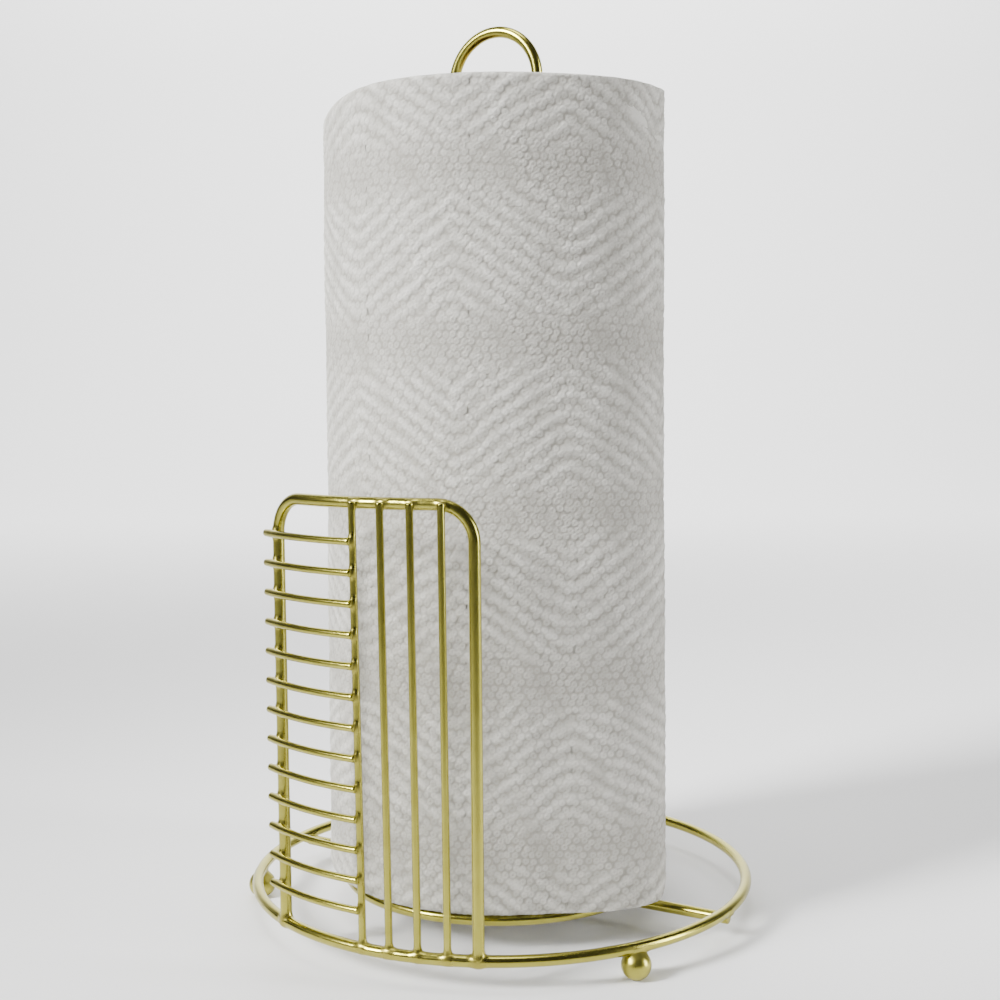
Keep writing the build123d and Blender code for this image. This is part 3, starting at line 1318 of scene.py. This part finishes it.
class TOWEL_HOLDER_OT_post(Operator):
    """Make the looped centre post"""

    bl_idname = "towel_holder.post"
    bl_label = "Centre post"

    def execute(self, context):
        bend_height = POST_TOP - HEAVY_HALF - POST_RADIUS
        left, right = POST_FEET
        to_left = unit(left * np.array([1, 1, 0])) * POST_RADIUS
        rise = np.array([0, 0, POST_RADIUS])
        centre = np.array([0, 0, bend_height])
        path = joined(
            straight(left, centre + to_left),
            bend(centre, to_left, rise, 0, math.pi, 90),
            straight(centre - to_left, right),
        )
        flat = np.cross(to_left, (0, 0, 1))
        piece = wire(
            "carry_loop_post",
            path,
            lambda stations: np.tile(unit(flat), (len(stations), 1)),
            HEAVY_HALF,
            [rod_mate(*CROSS_ENDS)],
            heavy_gold(),
            step_scale=1.3,
        )
        place(piece, "holder", "gold_heavy_wire", "centre_post")
        return {"FINISHED"}


class TOWEL_HOLDER_OT_side_frame(Operator):
    """Make the bent wire round the side panel"""

    bl_idname = "towel_holder.side_frame"
    bl_label = "Side frame"

    def execute(self, context):
        reach = np.array([0, 0, CORNER_RADIUS])
        foot, start, centre, inward, from_angle = LEFT_CORNER
        up_bend = bend(centre, -inward * CORNER_RADIUS, reach, 0, math.pi / 2)
        far_foot, far_start, far_centre, far_inward, to_angle = RIGHT_CORNER
        down_bend = bend(far_centre, -far_inward * CORNER_RADIUS, reach, math.pi / 2, 0)
        bar = bend(
            np.array([0, 0, FRAME_HEIGHT]),
            np.array([TOP_BAR_RADIUS, 0, 0]),
            np.array([0, TOP_BAR_RADIUS, 0]),
            from_angle,
            to_angle,
            60,
        )
        path = joined(
            straight(foot, start), up_bend, bar, down_bend, straight(far_start, far_foot)
        )
        mates = [ring_mate(BASE_RADIUS, RING_HEIGHT)]
        mates += [rod_mate(*upright_ends(n), FINE_HALF) for n in range(4)]
        for node in CROSS_BAR_NODES:
            bar_path = cross_bar_path(node)
            mates.append(rod_mate(bar_path[0], bar_path[8], FINE_HALF))
        piece = wire(
            "panel_frame_wire",
            path,
            outward,
            HEAVY_HALF,
            mates,
            heavy_gold(),
        )
        place(piece, "holder", "gold_heavy_wire", "side_frame")
        return {"FINISHED"}


class TOWEL_HOLDER_OT_uprights(Operator):
    """Make the four fine uprights of the side panel"""

    bl_idname = "towel_holder.uprights"
    bl_label = "Uprights"

    def execute(self, context):
        for number, node in enumerate(UPRIGHT_NODES):
            mates = [
                ring_mate(BASE_RADIUS, RING_HEIGHT),
                ring_mate(TOP_BAR_RADIUS, FRAME_HEIGHT),
            ]
            if number == 0:
                paths = [cross_bar_path(bar) for bar in CROSS_BAR_NODES]
                mates += [rod_mate(path[-8], path[-1], FINE_HALF) for path in paths]
            piece = wire(
                f"panel_rod_{number + 1}",
                straight(*upright_ends(number)),
                outward,
                FINE_HALF,
                mates,
                fine_gold(),
            )
            place(piece, "holder", "gold_fine_wire", node)
        return {"FINISHED"}


class TOWEL_HOLDER_OT_cross_bars(Operator):
    """Make the thirteen bowed cross bars of the side panel"""

    bl_idname = "towel_holder.cross_bars"
    bl_label = "Cross bars"

    def execute(self, context):
        mates = [
            rod_mate(LEFT_CORNER[0], LEFT_CORNER[1]),
            rod_mate(*upright_ends(0), FINE_HALF),
        ]
        for number, node in enumerate(CROSS_BAR_NODES):
            piece = wire(
                f"panel_slat_{number + 1:02d}",
                cross_bar_path(node),
                upward,
                FINE_HALF,
                mates,
                fine_gold(),
            )
            place(piece, "holder", "gold_fine_wire", node)
        return {"FINISHED"}


class TOWEL_HOLDER_OT_ball_feet(Operator):
    """Make the three ball feet"""

    bl_idname = "towel_holder.ball_feet"
    bl_label = "Ball feet"

    def execute(self, context):
        sizes = context.scene.holder_sizes
        finish = gold_finish("gold_ball_satin", False, BALL_ROUGHNESS)
        tilt = np.linspace(-math.pi / 2, math.pi / 2, 60)[1:-1]
        turn = np.arange(84) * TAU / 84
        t, a = np.meshgrid(tilt, turn, indexing="ij")
        normals = np.stack([np.cos(t) * np.cos(a), np.cos(t) * np.sin(a), np.sin(t)], axis=2)
        for number, node in enumerate(FOOT_NODES):
            # A ball: each direction times the radius, swollen where it meets the ring.
            centre = foot_centre(node)
            points = centre + normals * FOOT_RADIUS
            points, heat = swelling(
                points, normals, [ring_mate(BASE_RADIUS, RING_HEIGHT)], sizes
            )
            rows, columns = points.shape[:2]
            poles = centre + np.array([[0, 0, -FOOT_RADIUS], [0, 0, FOOT_RADIUS]])
            flat = np.vstack([points.reshape(-1, 3), poles])
            first_ring = np.arange(columns)
            faces = [
                grid_faces(rows, columns, 0, False, True),
                fan_faces(rows * columns, first_ring, False),
                fan_faces(rows * columns + 1, first_ring + (rows - 1) * columns, True),
            ]
            piece = new_piece(f"ball_rest_{number + 1}", flat, faces, finish)
            paint(piece, "weld", np.concatenate([heat.ravel(), [0, 0]]))
            place(piece, "holder", "gold_ball", node)
        return {"FINISHED"}


class TOWEL_HOLDER_OT_towel(Operator):
    """Make the embossed outer turns of the roll"""

    bl_idname = "towel_holder.towel"
    bl_label = "Outer turns of towel"

    def execute(self, context):
        towel = context.scene.towel_sizes
        finish = towel_finish()
        first = UNDER_TAIL - TAU
        span = (TAIL_BEGIN - first) / SLICE_COUNT
        for number in range(SLICE_COUNT):
            piece = roll_slice(
                f"towel_turn_{number + 1}",
                first + number * span,
                first + (number + 1) * span,
                149,
                566,
                34,
                0.0,
                towel,
                finish,
            )
            place(piece, "roll", "towel_paper", "paper_roll")
        under = roll_slice(
            "towel_turn_under", TAIL_BEGIN, UNDER_TAIL, 200, 60, 34, 1.0 * MM, towel, finish
        )
        place(under, "roll", "towel_paper", "paper_roll")
        for number in range(TAIL_PIECES):
            piece = tail_slice(number, towel, finish)
            place(piece, "roll", "towel_paper", "paper_roll", allowed=10 * MM)
        return {"FINISHED"}


class TOWEL_HOLDER_OT_windings(Operator):
    """Make the wound paper inside the outer turns"""

    bl_idname = "towel_holder.windings"
    bl_label = "Wound ends"

    def execute(self, context):
        towel = context.scene.towel_sizes
        for name, upper in (("towel_winding_upper", True), ("towel_winding_lower", False)):
            piece = winding(name, upper, towel, towel_finish())
            place(piece, "roll", "towel_paper", "paper_roll")
        return {"FINISHED"}


class TOWEL_HOLDER_OT_core(Operator):
    """Make the cardboard core"""

    bl_idname = "towel_holder.core"
    bl_label = "Cardboard core"

    def execute(self, context):
        place(core_tube(board_finish()), "roll_core", "core_board", "cardboard_core")
        return {"FINISHED"}


class TOWEL_HOLDER_OT_studio(Operator):
    """Make the pale floor, the soft lights and the camera"""

    bl_idname = "towel_holder.studio"
    bl_label = "Studio"

    def execute(self, context):
        self.sweep()
        self.lights(context)
        self.camera(context)
        return {"FINISHED"}

    def sweep(self):
        """Floor that turns up behind the object: a level run, a quarter round, a wall."""
        radius, far, front, half = 0.8, 1.6, -3.0, 4.0
        turn = np.linspace(0, math.pi / 2, 24)
        run_y = np.concatenate([[front, -0.2, 0.0], far + radius * np.sin(turn), [far + radius]])
        run_z = np.concatenate([[0, 0, 0], radius * (1 - np.cos(turn)), [4.0]])
        x, y = np.meshgrid(np.linspace(-half, half, 9), run_y)
        z = np.repeat(run_z[:, None], 9, axis=1)
        points = np.stack([x, y, z], axis=2)
        faces = grid_faces(len(run_y), 9, 0, False, False)
        new_piece("studio_sweep", points, [faces], floor_finish())

    def lights(self, context):
        """Large soft lamps, each aimed at the middle of the roll, and a dim grey room."""
        world = bpy.data.worlds.new("studio_room")
        world.use_nodes = True
        background = world.node_tree.nodes["Background"]
        background.inputs["Color"].default_value = (1, 1, 1, 1)
        background.inputs["Strength"].default_value = 0.05
        context.scene.world = world
        high, roll, wall = (np.array(v) for v in ((0, 0, 0.29), (0, 0, 0.15), (0, 2.4, 0.9)))
        for name, spot, target, size, power, spread in (
            ("lamp_key", (-1.25, -0.75, 1.10), high, (0.45, 0.8), 5.4, 34),
            ("lamp_side", (1.35, -0.35, 0.55), high, (0.25, 1.2), 3.0, 50),
            ("lamp_above", (-0.1, -0.1, 1.7), roll, (0.7, 0.7), 1.4, 60),
            ("lamp_wall", (0.0, 1.2, 1.9), wall, (2.6, 0.6), 130, 180),
        ):
            lamp = bpy.data.lights.new(name, "AREA")
            lamp.shape = "RECTANGLE"
            lamp.size, lamp.size_y = size
            lamp.energy = power
            lamp.spread = math.radians(spread)
            holder = bpy.data.objects.new(name, lamp)
            holder.matrix_world = aimed(np.array(spot), target)
            context.scene.collection.objects.link(holder)

    def camera(self, context):
        """Camera in front of the object, a little above its middle, looking slightly down."""
        lens = bpy.data.cameras.new("camera")
        lens.sensor_width = 36.0
        lens.lens = 53.85
        lens.clip_start, lens.clip_end = 0.01, 50
        yaw, dip, lean = (math.radians(v) for v in (0.05, 4.555, -0.485))
        forward = np.array(
            [math.sin(yaw) * math.cos(dip), math.cos(yaw) * math.cos(dip), -math.sin(dip)]
        )
        right = np.array([math.cos(yaw), -math.sin(yaw), 0])
        top = np.cross(right, forward)
        side = math.cos(lean) * right + math.sin(lean) * top
        up = -math.sin(lean) * right + math.cos(lean) * top
        viewer = bpy.data.objects.new("camera", lens)
        viewer.matrix_world = framed(side, up, -forward, (0, -0.5525, 0.1945))
        context.scene.collection.objects.link(viewer)
        context.scene.camera = viewer


def framed(x_axis, y_axis, z_axis, spot):
    """Matrix with three axes and a place."""
    rows = [[x_axis[k], y_axis[k], z_axis[k], spot[k]] for k in range(3)]
    return Matrix([*rows, [0, 0, 0, 1]])


def aimed(spot, target):
    """Matrix of a lamp at a spot that shines at a target."""
    back = unit(spot - target)
    side = unit(np.cross((0, 0, 1), back) + np.array([1e-9, 0, 0]))
    return framed(side, np.cross(back, side), back, spot)


class TOWEL_HOLDER_PT_panel(Panel):
    """Lists the settings and the pieces in the sidebar"""

    bl_idname = "TOWEL_HOLDER_PT_panel"
    bl_label = "Towel Holder"
    bl_space_type = "VIEW_3D"
    bl_region_type = "UI"
    bl_category = "Towel Holder"

    def draw(self, context):
        for group in ("holder_sizes", "towel_sizes", "holder_colours"):
            settings = getattr(context.scene, group)
            column = self.layout.column(align=True)
            for name in settings.__annotations__:
                column.prop(settings, name)
        column = self.layout.column(align=True)
        for operator in OPERATORS:
            column.operator(operator.bl_idname)


OPERATORS = (
    TOWEL_HOLDER_OT_base_rings,
    TOWEL_HOLDER_OT_cross_wire,
    TOWEL_HOLDER_OT_post,
    TOWEL_HOLDER_OT_side_frame,
    TOWEL_HOLDER_OT_uprights,
    TOWEL_HOLDER_OT_cross_bars,
    TOWEL_HOLDER_OT_ball_feet,
    TOWEL_HOLDER_OT_towel,
    TOWEL_HOLDER_OT_windings,
    TOWEL_HOLDER_OT_core,
    TOWEL_HOLDER_OT_studio,
)
SETTINGS = {
    "holder_sizes": HolderSizes,
    "towel_sizes": TowelSizes,
    "holder_colours": HolderColours,
}


def register():
    """Registers the settings, the operators and the panel."""
    for name, group in SETTINGS.items():
        bpy.utils.register_class(group)
        setattr(bpy.types.Scene, name, PointerProperty(type=group))
    for operator in OPERATORS:
        bpy.utils.register_class(operator)
    bpy.utils.register_class(TOWEL_HOLDER_PT_panel)


def unregister():
    """Takes back what register did."""
    bpy.utils.unregister_class(TOWEL_HOLDER_PT_panel)
    for operator in reversed(OPERATORS):
        bpy.utils.unregister_class(operator)
    for name, group in SETTINGS.items():
        delattr(bpy.types.Scene, name)
        bpy.utils.unregister_class(group)


def main():
    """Builds every piece."""
    register()
    for operator in OPERATORS:
        group, name = operator.bl_idname.split(".")
        getattr(getattr(bpy.ops, group), name)()


if __name__ == "__main__":
    main()
